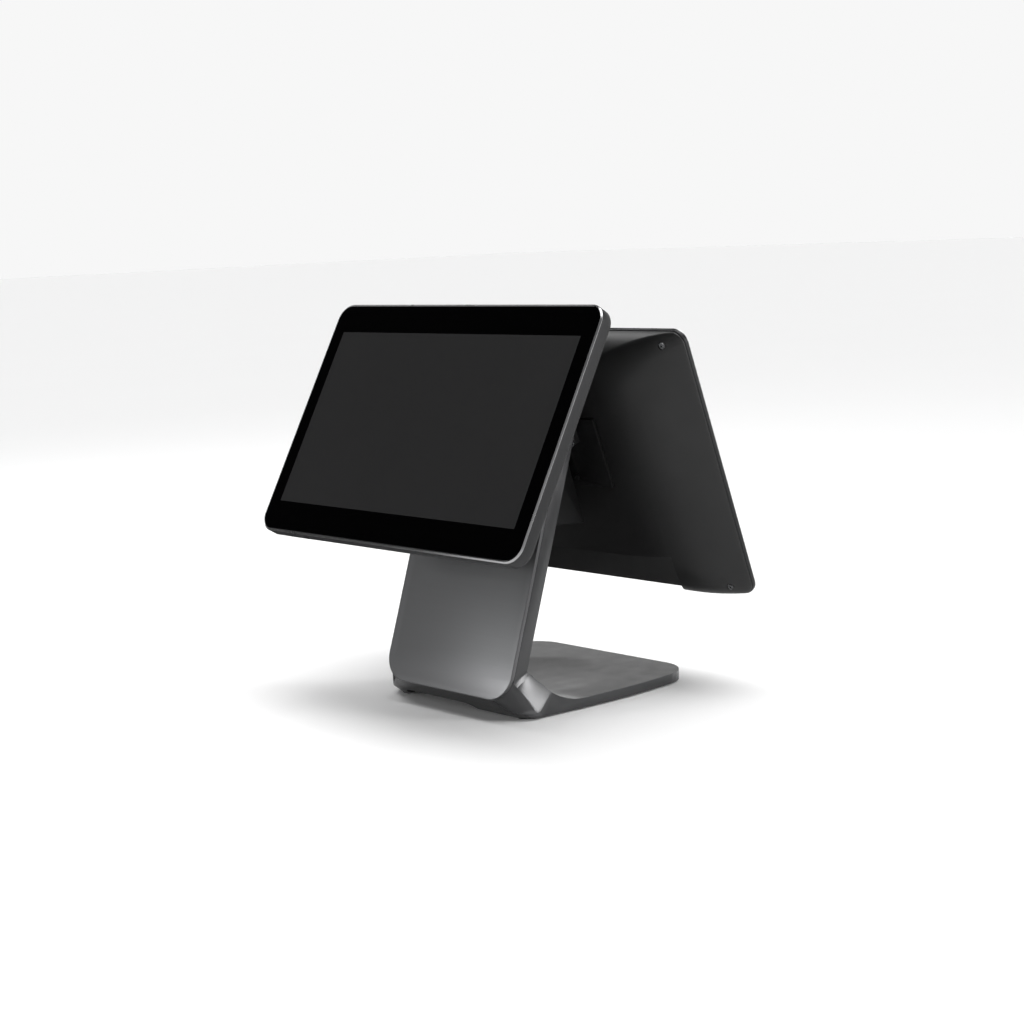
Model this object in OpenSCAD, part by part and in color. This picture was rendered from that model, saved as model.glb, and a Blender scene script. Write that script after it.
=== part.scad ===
// Two-screen point-of-sale terminal: a folded slab stand that carries an
// operator display in front and a customer display behind, each on its own
// friction hinge. Millimetres, +Z up, operator at -Y, customer at +Y.
// The origin is on the table under the middle of the whole terminal.

/* [Displays] */
// Width of the operator display housing
main_w = 381; // [370:1:390]
// Width of the customer display housing
rear_w = 385; // [380:1:390]
// Height of the operator display housing
main_h = 260; // [255:1:270]
// Height of the customer display housing
rear_h = 299; // [295:1:303]
// Depth from cover glass to the flat back of a rear cover
housing_d = 42; // [40:1:44]
// Corner radius of the operator display housing
main_r = 18; // [16:1:20]
// Corner radius of the customer display housing
rear_r = 15; // [14:1:18]
// Lean of the operator display from upright, in degrees
main_tilt = 30; // [26:1:32]
// Lean of the customer display from upright, in degrees
rear_tilt = 21; // [19:1:23]
// Depth of the operator display's bezel side band
main_band = 14.5; // [10:0.5:16]
// Depth of the customer display's bezel side band
rear_band = 6; // [5:0.5:8]

/* [Places] */
// Operator display, centre of the glass face: distance from the middle towards the operator
main_y = 109; // [107:0.5:112]
// Operator display, centre height
main_z = 293.5; // [290:0.5:297]
// Customer display, centre of the glass face: distance from the middle towards the customer
rear_y = 120; // [118:0.5:122]
// Customer display, centre height
rear_z = 237.1; // [235:0.1:239]

/* [Stand] */
// Width of the base plate
base_w = 238; // [220:1:240]
// Rear edge of the base plate, from the middle
base_rear = 153; // [140:0.5:160]
// Height of the base plate's upper face
base_top = 11.5; // [10:0.5:13]
// Height of the base plate's lower face, on its feet
base_lift = 1.5; // [1.5:0.5:2]
// Width of the neck
neck_w = 182.4; // [170:0.2:190]
// Thickness of the neck, front face to back face
neck_t = 19.4; // [18:0.2:21]
// Lean of the neck from upright, in degrees
neck_lean = 19.4; // [18:0.1:20]
// Length of the neck, measured along it from the table
neck_len = 338; // [330:1:345]
// Height of the scoop's tangent line above the base plate's upper face
scoop_r = 34; // [28:1:38]

/* [Hinges] */
// Radius of the hinge shafts
shaft_r = 5; // [4.5:0.1:5.5]
// Radial running clearance of the shafts in the leaf ears
shaft_gap = 0.05; // [0.02:0.01:0.09]
// Operator hinge axis: distance behind the glass
main_axis_d = 59; // [58:1:62]
// Operator hinge axis: height above the display centre
main_axis_h = 32; // [28:1:36]
// Customer hinge axis: distance behind the glass
rear_axis_d = 64; // [63:1:66]
// Customer hinge axis: height above the display centre
rear_axis_h = 50; // [48:1:52]

/* [Hidden] */
$fn = 64;
eps = 0.01;
active_w = 344.2;
active_h = 193.6;
glass_t = 3;
rim = 1.7;
cover_plate_t = 4;
neck_y0 = -105.6;
wall = 2.5;
panel_w = 359.5;
panel_h = 223.8;
panel_t = 5.5;
rear_panel_h = 223.8;
ledge = 7.5;
bay_half = 104.5;
bay_slant = 0.404;
bay_floor = 17;
bay_roof = 92;
rear_bay_roof = 96;
rear_bay_floor = 8.3;
floor_t = 1.5;
arm_half = 38;
barrel_half = 43.5;
barrel_r = 10;
washer_t = 1;
ear_in = 45;
ear_t = 4;
leaf_t = 3;
main_leaf_half = 55;
rear_leaf_half = 76;
neck_bolt_x = 82.5;
neck_bolt_seat = 38;
button_x = -120;
button_r = 4;
button_d = 8;
button_gap = 0.3;
button_out = 0.8;
button_travel = 0.8;
notch_x0 = -76;
notch_x1 = 32;
notch_top = 8;

// World place of a point (depth y, height z) of the neck, operator display and customer display
function neck_yz(y, z) = [neck_y0 + y * cos(neck_lean) + z * sin(neck_lean),
                          -y * sin(neck_lean) + z * cos(neck_lean)];
function main_yz(y, z) = [-main_y + y * cos(main_tilt) + z * sin(main_tilt),
                          main_z - y * sin(main_tilt) + z * cos(main_tilt)];
function rear_yz(y, z) = [rear_y - y * cos(rear_tilt) - z * sin(rear_tilt),
                          rear_z - y * sin(rear_tilt) + z * cos(rear_tilt)];
main_axis = main_yz(main_axis_d, main_axis_h);
rear_axis = rear_yz(rear_axis_d, rear_axis_h);

// ---------- frames ----------

// Neck frame: y runs from the front face into the neck, z runs up along it
module in_neck() {
    translate([0, neck_y0, 0]) rotate([-neck_lean, 0, 0]) children();
}

// Operator display frame: y runs back from the glass, z runs up, x to the operator's right
module in_main() {
    translate([0, -main_y, main_z]) rotate([-main_tilt, 0, 0]) children();
}

// Customer display frame: the same, facing the other way
module in_rear() {
    translate([0, rear_y, rear_z]) rotate([rear_tilt, 0, 0]) rotate([0, 0, 180]) children();
}

// ---------- shared shapes ----------

module rounded_rect(w, h, r) {
    square([w - 2 * r, h], center = true);
    square([w, h - 2 * r], center = true);
    for (sx = [-1, 1]) for (sz = [-1, 1])
        translate([sx * (w / 2 - r), sz * (h / 2 - r)]) circle(r);
}

// Flat plate in a display frame, from depth d0 to d1
module slab(w, h, r, d0, d1) {
    translate([0, d1, 0]) rotate([90, 0, 0]) linear_extrude(d1 - d0) rounded_rect(w, h, r);
}

// Box given by its lowest and highest corners
module span(a, b) {
    translate(a) cube([b[0] - a[0], b[1] - a[1], b[2] - a[2]]);
}

// Round bar along X between two places
module bar_x(r, x0, x1) {
    translate([x0, 0, 0]) rotate([0, 90, 0]) cylinder(r = r, h = x1 - x0);
}

// Round bar along Y between two depths
module bar_y(r, y0, y1) {
    translate([0, y1, 0]) rotate([90, 0, 0]) cylinder(r = r, h = y1 - y0);
}

// Outline in the YZ plane, extruded across X to a half width
module yz_prism(points, half) {
    rotate([90, 0, 90]) translate([0, 0, -half]) linear_extrude(2 * half) polygon(points);
}

// Screw driven into a display from behind: head and shank along the depth
module rear_screw(x, z, head_d, head_r, head_h, shank_r, shank_l) {
    translate([x, 0, z]) {
        difference() {
            bar_y(head_r, head_d, head_d + head_h);
            bar_y(head_r * 0.4, head_d + head_h * 0.45, head_d + head_h + 1);
        }
        bar_y(shank_r, head_d - shank_l, head_d + eps);
    }
}

// ---------- stand ----------

// Side points of the flare: neck front, neck back, base rim and base front
flare_a = neck_yz(cover_plate_t, 43);
flare_b = neck_yz(neck_t, 57);
flare_c = [103, -47.5, 24.4];
flare_d = [106, -67, 8.8];
flare_rim = [106.3, -32.6, 16.6];
heel_low = [-77.5, base_lift];

// Concave fillet from the neck's back face down to the base plate's upper face
scoop_turn = 90 - neck_lean;
scoop_tan = scoop_r / tan(scoop_turn / 2);
corner_y = neck_yz(neck_t, 0)[0] + (base_top - neck_yz(neck_t, 0)[1]) * tan(neck_lean);
scoop_c = [corner_y + scoop_tan, base_top + scoop_r];
scoop = [for (i = [0:10]) let (a = 180 - neck_lean + (90 + neck_lean) * i / 10)
    [scoop_c[0] + scoop_r * cos(a), scoop_c[1] + scoop_r * sin(a)]];

module base_outline() {
    r = 38;
    half = base_w / 2;
    side = [[half, base_rear - r], [half, 92], [half - 1, 66], [half - 2.8, 36], [half - 4.6, 10],
        [111.4, -17], [106.5, -40], [102.8, -57], [98, -69], [neck_w / 2, heel_low[0]]];
    polygon(concat(side, [for (i = [len(side) - 1:-1:0]) [-side[i][0], side[i][1]]]));
    translate([-half + r, base_rear - 2 * r]) square([base_w - 2 * r, 2 * r]);
    for (s = [-1, 1]) translate([s * (half - r), base_rear - r]) circle(r);
}

// Corner block between the neck's side and the base plate, with one flat diamond facet
module flare(side) {
    h = neck_w / 2;
    low = base_lift + 0.5;
    pts = [[h, flare_a[0], flare_a[1]], [h, flare_b[0], flare_b[1]], flare_c, flare_d,
        flare_rim, [h, heel_low[0], low], [98, -69, low], [102.8, -57, low], [106.5, -40, low],
        [111, -22, base_top - 0.5], [h - 8, -26, base_top - 0.5],
        [h - 8, flare_b[0], flare_b[1]], [h - 8, flare_a[0], flare_a[1]],
        [h - 8, heel_low[0], low]];
    hull() for (p = pts) translate([side * p[0], p[1], p[2]]) cube(0.02, center = true);
}

module base_casting() {
    low = neck_yz(cover_plate_t, 20);
    color("dimgray") difference() {
        union() {
            translate([0, 0, base_lift]) linear_extrude(base_top - base_lift) base_outline();
            yz_prism(concat([heel_low, [-30, base_lift], [scoop_c[0], base_top - 1]],
                [for (i = [10:-1:3]) scoop[i]], [flare_b, flare_a, low]), neck_w / 2);
            flare(1);
            flare(-1);
        }
        // pocket for ballast and bottom cover
        span([-104, -26.5, base_lift - 1], [104, 141.5, base_top - 3]);
        // cable notch through the lower front edge into the pocket
        span([notch_x0, -120, -1], [notch_x1, -25.5, notch_top]);
        // holes and head recesses of the neck bolts
        for (x = [-neck_bolt_x, neck_bolt_x]) in_neck() translate([x, 11.7, -20]) {
            cylinder(r = 2.6, h = 90);
            cylinder(r = 4.6, h = neck_bolt_seat + 20);
        }
        // tapped holes of the bottom cover screws, in the pocket's roof
        for (x = [-92, 92]) for (y = [-14.5, 129.5])
            translate([x, y, base_lift]) cylinder(r = 1.6, h = 8.5);
    }
}

module base_bottom_cover() {
    color("silver") difference() {
        span([-103.6, -26.1, base_lift], [103.6, 141.1, base_lift + 1.2]);
        for (x = [-92, 92]) for (y = [-14.5, 129.5])
            translate([x, y, 0]) cylinder(r = 1.6, h = 9);
        for (x = [-92, 92]) for (y = [-14.5, 129.5])
            translate([x, y, 0]) cylinder(r = 3.2, h = base_lift + 0.5);
    }
}

module ballast_plate() {
    color("gray") span([-84, -18.5, base_lift + 1.3], [84, 133.5, base_top - 3.1]);
}

module rubber_feet() {
    color("black") {
        for (x = [-86, 86]) translate([x, -71, 0]) cylinder(r = 5, h = base_lift);
        for (x = [-96, 96]) translate([x, 110, 0]) cylinder(r = 6, h = base_lift);
    }
}

module base_screws() {
    color("silver") for (x = [-92, 92]) for (y = [-14.5, 129.5]) translate([x, y, 0]) {
        translate([0, 0, base_lift - 0.4]) cylinder(r = 3, h = 0.8);
        translate([0, 0, base_lift + 0.3]) cylinder(r = 1.5, h = 7.8);
    }
}

neck_pocket_half = 74;

module neck_shell() {
    r = 22;
    foot_a = neck_yz(cover_plate_t, 43.1);
    foot_b = neck_yz(neck_t, 57.1);
    top_z = neck_len;
    color("dimgray") difference() {
        intersection() {
            yz_prism([foot_a, foot_b, neck_yz(neck_t, top_z), neck_yz(cover_plate_t, top_z)],
                neck_w / 2);
            in_neck() slab_up(neck_w, top_z, r, cover_plate_t - 1, neck_t + 1);
        }
        // pocket for the spine plate and the display cables
        in_neck() span([-neck_pocket_half, cover_plate_t - 1, 66],
            [neck_pocket_half, 14.4, neck_len - 16]);
        // bolts of the rear arm
        for (x = [-26, 26]) for (z = [206, 276]) in_neck() translate([x, 0, z])
            bar_y(3.1, 10, neck_t + 1);
        // tapped holes of the neck bolts
        for (x = [-neck_bolt_x, neck_bolt_x]) in_neck() translate([x, 11.7, 40])
            cylinder(r = 2.6, h = 36);
        // cable windows to the operator and customer displays
        in_neck() span([-66, 10, 290], [-46, neck_t + 1, 304]);
        in_neck() span([-17, 10, 222], [17, neck_t + 1, 250]);
    }
}

// Plate with rounded upper corners standing on z = 0 of the neck frame
module slab_up(w, h, r, d0, d1) {
    translate([0, d1, 0]) rotate([90, 0, 0]) linear_extrude(d1 - d0) {
        translate([-w / 2, 0]) square([w, h - r]);
        translate([-w / 2 + r, 0]) square([w - 2 * r, h]);
        for (s = [-1, 1]) translate([s * (w / 2 - r), h - r]) circle(r);
    }
}

module neck_front_cover() {
    r = 28;
    low = 22.3;
    h = neck_len - low;
    color("gray") in_neck() difference() {
        translate([0, 0, low + h / 2]) slab(neck_w, h, r, 0, cover_plate_t - 0.05);
        span([-arm_half - 1, -1, 234], [arm_half + 1, cover_plate_t + 1, 328]);
        span([-66, -1, 290], [-46, cover_plate_t + 1, 304]);
    }
}

// Places of the bolts that hold the arms on the neck
front_bolts = [for (x = [-14, 14]) for (z = [264, 312]) [x, z]];
rear_bolts = [for (x = [-26, 26]) for (z = [206, 276]) [x, z]];

// Steel plate that ties both hinge arms to the neck
module neck_spine() {
    color("lightsteelblue") in_neck() difference() {
        union() {
            span([-arm_half, cover_plate_t + 0.05, 196], [arm_half, 14.3, 321.5]);
            span([-70, 10.4, 70], [70, 14.3, 321.5]);
        }
        // lightening windows
        for (z = [84, 140]) span([-24, cover_plate_t - 1, z], [24, 15, z + 42]);
        span([-17, cover_plate_t - 1, 222], [17, 15, 250]);
        // bolts of both arms
        for (p = rear_bolts) translate([p[0], 0, p[1]]) {
            bar_y(3.1, 3, 15);
            bar_y(5, 3, 9.5);
        }
        for (p = front_bolts) translate([p[0], 0, p[1]]) bar_y(2.55, 3, 15);
        span([-66, 10, 290], [-46, 15, 304]);
    }
}

module neck_bolts() {
    color("silver") for (x = [-neck_bolt_x, neck_bolt_x])
        in_neck() translate([x, 11.7, neck_bolt_seat]) {
            translate([0, 0, -5]) cylinder(r = 4.2, h = 4.95);
            translate([0, 0, -0.1]) cylinder(r = 2.5, h = 36);
        }
}

// Cast arm from the neck's front face to the operator hinge
module front_arm() {
    a0 = neck_yz(cover_plate_t - 0.03, 236);
    a1 = neck_yz(cover_plate_t - 0.03, 326);
    y0 = main_axis[0];
    z0 = main_axis[1];
    color("darkslategray") difference() {
        union() {
            yz_prism([a0, a1, [y0 + 3, z0 + 9.4], [y0 - 2, z0 + 3], [y0 + 2, z0 - 9]], arm_half);
            translate([0, y0, z0]) bar_x(barrel_r, -barrel_half, barrel_half);
        }
        translate([0, y0, z0]) bar_x(shaft_r + 0.02, -barrel_half - 1, barrel_half + 1);
        for (p = front_bolts) in_neck() translate([p[0], 0, p[1]]) {
            bar_y(2.6, -20, 9);
            bar_y(5, -60, -6);
        }
    }
}

// Wedge-shaped arm from the neck's back face to the customer hinge, hollow for the cable
module rear_arm() {
    gap = 0.05;
    a0 = neck_yz(neck_t + gap, 196);
    a1 = neck_yz(neck_t + gap, 296);
    y0 = rear_axis[0];
    z0 = rear_axis[1];
    low = rear_yz(63.4, -46.3);
    b0 = neck_yz(neck_t - 1, 204);
    b1 = neck_yz(neck_t - 1, 268);
    color("darkslategray") difference() {
        union() {
            yz_prism([a0, [low[0] - 4, low[1] + 0.5], low, [low[0] - 1, low[1] + 5],
                [y0 + 8, z0 - 5], [y0 + 6, z0 + 8], a1], arm_half);
            translate([0, y0, z0]) bar_x(barrel_r, -barrel_half, barrel_half);
        }
        yz_prism([b0, [low[0] - 12, low[1] + 8], [y0 - 2, z0 - 20], [y0 - 14, z0 - 12], b1], 18);
        translate([0, y0, z0]) bar_x(shaft_r + 0.02, -barrel_half - 1, barrel_half + 1);
        for (p = rear_bolts) in_neck() translate([p[0], 0, p[1]])
            bar_y(2.6, neck_t - 5, neck_t + 16);
    }
}

module arm_bolts() {
    color("silver") in_neck() {
        // front arm, heads in front
        for (p = front_bolts) translate([p[0], 0, p[1]]) {
            bar_y(4.4, -10.5, -6.05);
            bar_y(2.5, -6.1, 12);
        }
        // rear arm, heads in the spine
        for (p = rear_bolts) translate([p[0], 0, p[1]]) {
            bar_y(4.4, 4.6, 9.4);
            bar_y(2.5, 9.3, neck_t + 14);
        }
    }
}

module hinge_shaft(at) {
    reach = ear_in + ear_t + 7;
    translate([0, at[0], at[1]]) bar_x(shaft_r, -reach, reach);
}

module main_hinge_shaft() {
    color("silver") hinge_shaft(main_axis);
}

module rear_hinge_shaft() {
    color("silver") hinge_shaft(rear_axis);
}

module friction_washers() {
    color("goldenrod") for (at = [main_axis, rear_axis]) for (s = [-1, 1])
        translate([0, at[0], at[1]]) mirror([s < 0 ? 1 : 0, 0, 0]) difference() {
            bar_x(9, barrel_half + 0.1, barrel_half + 0.1 + washer_t);
            bar_x(shaft_r + 0.02, barrel_half - 1, ear_in + 1);
        }
}

module shaft_nuts() {
    x0 = ear_in + ear_t + 0.3;
    color("silver") for (at = [main_axis, rear_axis]) for (s = [-1, 1])
        translate([0, at[0], at[1]]) mirror([s < 0 ? 1 : 0, 0, 0]) difference() {
            translate([x0, 0, 0]) rotate([0, 90, 0]) cylinder(r = 9, h = 5, $fn = 6);
            bar_x(shaft_r + 0.02, x0 - 1, x0 + 6);
        }
}

// ---------- display parts, shared by both displays ----------

module glass(w, h, r) {
    color("black") slab(w - 2 * rim, h - 2 * rim, r - rim, 0, glass_t);
}

module bezel(w, h, r, band) {
    difference() {
        slab(w, h, r, 0.4, band);
        slab(w - 2 * rim + 0.2, h - 2 * rim + 0.2, r - rim, -1, glass_t);
        slab(w - 2 * ledge, h - 2 * ledge, r - ledge, -1, band + 1);
    }
}

module lcd_panel(h) {
    color("darkslateblue") slab(panel_w, h, 2, glass_t + 0.1, glass_t + panel_t - 0.4);
}

// Pillow form of a rear cover: full outline at the band, steep top and bottom, broad side bevels.
// A thickness above 0 gives the hollow inside it, open at the band.
module pillow(outer_w, h, r, band, thick) {
    w = outer_w - 2 - 2 * thick;
    hh = h - 2 - 2 * thick;
    d = housing_d - thick;
    front = thick > 0 ? band - 1 : band;
    hull() {
        slab(w, hh, r - thick, front, band + 1 - 0.5 * thick / wall);
        slab(w - 74, hh - 22, 26, d - 12, d - 11);
        slab(w - 124, hh - 48, 30, d - 1, d);
    }
}

// Space of the socket bay behind depth y0, its end walls slanting outwards towards the back,
// grown outwards on its closed sides
module bay_space(h, roof, y0, grow) {
    y1 = housing_d + 5;
    inner = bay_half + bay_slant * y0 + grow;
    outer = bay_half + bay_slant * y1 + grow;
    translate([0, 0, -h / 2 - 5]) linear_extrude(h / 2 + 5 - roof + grow)
        polygon([[-inner, y0], [inner, y0], [outer, y1], [-outer, y1]]);
}

// Hollow shell with an open front, a socket bay in its lower back and deep corner screw pockets
module cover_shell(w, h, r, band, roof, floor_d, head_d) {
    difference() {
        pillow(w, h, r, band, 0);
        difference() {
            pillow(w, h, r, band, wall);
            bay_space(h, roof, floor_d, wall);
            for (p = corner_screws(w, h)) translate([p[0], 0, p[1]])
                bar_y(5.6, head_d - 1.5, housing_d);
        }
        bay_space(h, roof, floor_d + floor_t, 0);
        for (p = corner_screws(w, h)) translate([p[0], 0, p[1]]) {
            bar_y(3.6, head_d, housing_d);
            bar_y(1.9, 0, housing_d);
        }
    }
}

// Hole through the bay's roof for one socket
module roof_hole(x, w, y0, y1, roof) {
    span([x - w / 2 - 0.3, y0 - 0.3, -roof - 1], [x + w / 2 + 0.3, y1 + 0.3, -roof + wall + 1]);
}

// Leaf: plate on the cover's back with two ears around the shaft
module hinge_leaf(axis_d, axis_h, leaf_half) {
    d0 = housing_d;
    low = axis_h - 62;
    high = axis_h + 16;
    difference() {
        union() {
            span([-leaf_half, d0, low], [leaf_half, d0 + leaf_t, high]);
            for (s = [-1, 1]) mirror([s < 0 ? 1 : 0, 0, 0]) {
                translate([0, axis_d, axis_h]) bar_x(barrel_r, ear_in, ear_in + ear_t);
                span([ear_in, d0 + leaf_t - 1, axis_h - barrel_r],
                    [ear_in + ear_t, axis_d, axis_h + barrel_r]);
            }
        }
        translate([0, axis_d, axis_h])
            bar_x(shaft_r + shaft_gap, -leaf_half - 1, leaf_half + 1);
        for (x = [-30, 30]) for (z = [low + 10, low + 50]) translate([x, 0, z])
            bar_y(2.1, d0 - 1, d0 + leaf_t + 1);
    }
}

module leaf_screws(axis_h) {
    low = axis_h - 62;
    for (x = [-30, 30]) for (z = [low + 10, low + 50])
        rear_screw(x, z, housing_d + leaf_t, 3.6, 2.2, 2, 9);
}

// Places of the four corner screws of a rear cover
function corner_screws(w, h) = [for (sx = [-1, 1]) for (sz = [-1, 1])
    [sx * (w / 2 - 23), sz * (h / 2 - 12.5)]];

// ---------- operator display ----------

module main_glass() {
    in_main() glass(main_w, main_h, main_r);
}

module main_bezel() {
    color("darkgray") in_main() difference() {
        bezel(main_w, main_h, main_r, main_band);
        // hole of the power button
        translate([button_x, button_d, -main_h / 2 - 1])
            cylinder(r = button_r + button_gap, h = ledge + 2);
    }
}

module main_lcd_panel() {
    in_main() lcd_panel(panel_h);
}

// Steel frame plate with posts for the hinge leaf and bosses for the corner screws
module chassis(w, h, r, d, post_z, cover_w, cover_h, head_d) {
    difference() {
        union() {
            slab(w, h, r, d, d + 1.2);
            for (x = [-30, 30]) for (z = [post_z + 10, post_z + 50]) translate([x, 0, z])
                bar_y(5, d + 1, housing_d - wall - 0.1);
            for (p = corner_screws(cover_w, cover_h)) translate([p[0], 0, p[1]])
                bar_y(3.4, d + 1, head_d - 1.6);
        }
        for (x = [-30, 30]) for (z = [post_z + 10, post_z + 50]) translate([x, 0, z])
            bar_y(2.05, 30, housing_d);
        for (p = corner_screws(cover_w, cover_h)) translate([p[0], 0, p[1]])
            bar_y(1.6, d - 1, head_d);
    }
}

module main_chassis() {
    color("lightsteelblue") in_main() difference() {
        chassis(main_w - 2 * ledge - 1, main_h - 2 * ledge - 1, main_r - ledge, 9.2,
            main_axis_h - 62, main_w, main_h, 19);
        // notch for the power button and its switch
        span([button_x - 9, 9, -main_h / 2], [button_x + 9, 11, -main_h / 2 + 20]);
    }
}

module main_rear_cover() {
    z0 = main_axis_h - 62;
    color("dimgray") in_main() difference() {
        cover_shell(main_w, main_h, main_r, main_band, bay_roof, bay_floor, 19);
        for (x = [-30, 30]) for (z = [z0 + 10, z0 + 50]) translate([x, 0, z])
            bar_y(2.2, housing_d - 5, housing_d + 1);
        for (s = socket_list) roof_hole(s[0], s[1] + 2.4, socket_d, socket_d + s[2] + 2.4, bay_roof);
        roof_hole(63, 11, socket_d, socket_d + 11, bay_roof);
    }
}

module main_hinge_leaf() {
    color("silver") in_main() hinge_leaf(main_axis_d, main_axis_h, main_leaf_half);
}

module main_leaf_screws() {
    color("gray") in_main() leaf_screws(main_axis_h);
}

board_z0 = -76;
board_z1 = 60;
board_half = 85;
board_d = 16.5;

module mainboard() {
    color("darkgreen") in_main() difference() {
        union() {
            span([-board_half, board_d, board_z0], [board_half, board_d + 1.6, board_z1]);
            span([-16, board_d + 1.5, 20], [16, board_d + 3.4, 50]);
            for (x = [-70:14:-42]) span([x, board_d + 1.5, 40], [x + 8, board_d + 12, 52]);
        }
        for (x = [-30, 30]) for (z = [main_axis_h - 52, main_axis_h - 12])
            translate([x, 0, z]) bar_y(5.5, 10, 30);
        for (x = [-78, 78]) for (z = [board_z0 + 6, board_z1 - 6])
            translate([x, 0, z]) bar_y(1.6, 10, 30);
    }
}

module board_standoffs() {
    color("goldenrod") in_main() {
        for (x = [-78, 78]) for (z = [board_z0 + 6, board_z1 - 6]) translate([x, 0, z]) {
            bar_y(3, 10.7, board_d);
            bar_y(1.5, board_d - 0.5, board_d + 2.6);
            bar_y(2.8, board_d + 1.6, board_d + 3.2);
        }
        for (x = [110, 160]) for (z = [-40, 40]) translate([x, 0, z]) bar_y(3, 10.7, 15);
    }
}

module heat_sink() {
    color("lightgray") in_main() {
        span([-24, board_d + 3.4, 12], [24, board_d + 6.4, 58]);
        for (i = [0:8]) span([-24 + i * 5.75, board_d + 6.3, 12],
            [-22 + i * 5.75, board_d + 17, 58]);
    }
}

module memory_module() {
    color("seagreen") in_main() span([40, board_d + 1.6, -60], [80, board_d + 5.2, 8]);
}

module solid_state_drive() {
    color("slategray") in_main() span([98, 15.1, -50], [164, 21.5, 50]);
}

module main_speakers() {
    color("black") in_main() for (s = [-1, 1]) mirror([s < 0 ? 1 : 0, 0, 0])
        span([127, 12, -112], [158, 22, -92]);
}

// Socket cavities: centre place, width and depth of each mouth
socket_list = [[-50, 12, 9], [-22, 14, 13.4], [4, 14, 13.4], [38, 18, 9]];
socket_d = 20.2;

module main_sockets() {
    z0 = -bay_roof - 1;
    color("silver") in_main() {
        for (s = socket_list) difference() {
            span([s[0] - s[1] / 2 - 1.2, socket_d, z0],
                [s[0] + s[1] / 2 + 1.2, socket_d + s[2] + 2.4, z0 + 17]);
            span([s[0] - s[1] / 2, socket_d + 1.2, z0 - 1],
                [s[0] + s[1] / 2, socket_d + s[2] + 1.2, z0 + 14]);
        }
        difference() {
            span([57.5, socket_d, z0], [68.5, socket_d + 11, z0 + 17]);
            translate([63, socket_d + 5.5, z0 - 1]) cylinder(r = 3, h = 14);
        }
    }
}

module main_cover_screws() {
    color("gray") in_main() for (p = corner_screws(main_w, main_h))
        rear_screw(p[0], p[1], 19.05, 3.2, 2.2, 1.5, 10);
}

// Push button in the lower bezel, its flange behind the bezel's ledge
module power_button() {
    flange_t = 1.4;
    inner = -main_h / 2 + ledge;
    color("black") in_main() translate([button_x, button_d, 0]) {
        translate([0, 0, -main_h / 2 - button_out])
            cylinder(r = button_r, h = ledge + button_out + 0.3);
        translate([0, 0, inner + 0.2]) cylinder(r = button_r + 0.9, h = flange_t);
    }
}

module power_switch() {
    z0 = -main_h / 2 + ledge + 0.2 + 1.4 + button_travel + 0.2;
    color("gold") in_main() span([button_x - 6, button_d - 3, z0], [button_x + 6, button_d + 3, z0 + 4]);
}

// ---------- customer display ----------

module rear_glass() {
    in_rear() glass(rear_w, rear_h, rear_r);
}

module rear_bezel() {
    color("darkgray") in_rear() bezel(rear_w, rear_h, rear_r, rear_band);
}

module rear_lcd_panel() {
    in_rear() lcd_panel(rear_panel_h);
}

module rear_chassis() {
    color("lightsteelblue") in_rear() difference() {
        chassis(rear_w - 2 * ledge - 6, rear_h - 2 * ledge - 4, 14, 8.3,
            rear_axis_h - 62, rear_w, rear_h, 13.5);
        // room for the floor of the socket bay
        span([-126, 8, -rear_h / 2], [126, 11, -rear_bay_roof + wall + 0.5]);
    }
}

module rear_cover() {
    z0 = rear_axis_h - 62;
    color("dimgray") in_rear() difference() {
        cover_shell(rear_w, rear_h, rear_r, rear_band, rear_bay_roof, rear_bay_floor, 13.5);
        for (x = [-30, 30]) for (z = [z0 + 10, z0 + 50]) translate([x, 0, z])
            bar_y(2.2, housing_d - 5, housing_d + 1);
        roof_hole(-19.2, 20.4, rear_socket_d, rear_socket_d + 11.4, rear_bay_roof);
        roof_hole(18, 11, rear_socket_d, rear_socket_d + 11, rear_bay_roof);
    }
}

module rear_hinge_leaf() {
    color("silver") in_rear() hinge_leaf(rear_axis_d, rear_axis_h, rear_leaf_half);
}

module rear_leaf_screws() {
    color("gray") in_rear() leaf_screws(rear_axis_h);
}

module driver_board() {
    color("darkgreen") in_rear() {
        span([-60, 15, -74], [60, 16.6, -14]);
        for (x = [-52, 52]) for (z = [-68, -20]) translate([x, 0, z]) bar_y(3, 9.6, 15.1);
        span([-50, 16.5, -52], [-30, 19, -32]);
    }
}

rear_socket_d = 19;

module rear_sockets() {
    z0 = -rear_bay_roof - 1;
    color("silver") in_rear() {
        difference() {
            span([-29.4, rear_socket_d, z0], [-9, rear_socket_d + 11.4, z0 + 16]);
            span([-28.2, rear_socket_d + 1.2, z0 - 1], [-10.2, rear_socket_d + 10.2, z0 + 13]);
        }
        difference() {
            span([12.5, rear_socket_d, z0], [23.5, rear_socket_d + 11, z0 + 16]);
            translate([18, rear_socket_d + 5.5, z0 - 1]) cylinder(r = 3, h = 14);
        }
    }
}

module rear_cover_screws() {
    color("gray") in_rear() for (p = corner_screws(rear_w, rear_h))
        rear_screw(p[0], p[1], 13.55, 3.2, 2.2, 1.5, 4.2);
}

base_casting();
base_bottom_cover();
ballast_plate();
rubber_feet();
base_screws();
neck_shell();
neck_front_cover();
neck_spine();
neck_bolts();
front_arm();
rear_arm();
arm_bolts();
main_hinge_shaft();
rear_hinge_shaft();
friction_washers();
shaft_nuts();
main_glass();
main_bezel();
main_lcd_panel();
main_chassis();
main_rear_cover();
main_hinge_leaf();
main_leaf_screws();
mainboard();
board_standoffs();
heat_sink();
memory_module();
solid_state_drive();
main_speakers();
main_sockets();
main_cover_screws();
power_switch();
power_button();
rear_glass();
rear_bezel();
rear_lcd_panel();
rear_chassis();
rear_cover();
rear_hinge_leaf();
rear_leaf_screws();
driver_board();
rear_sockets();
rear_cover_screws();
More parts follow.
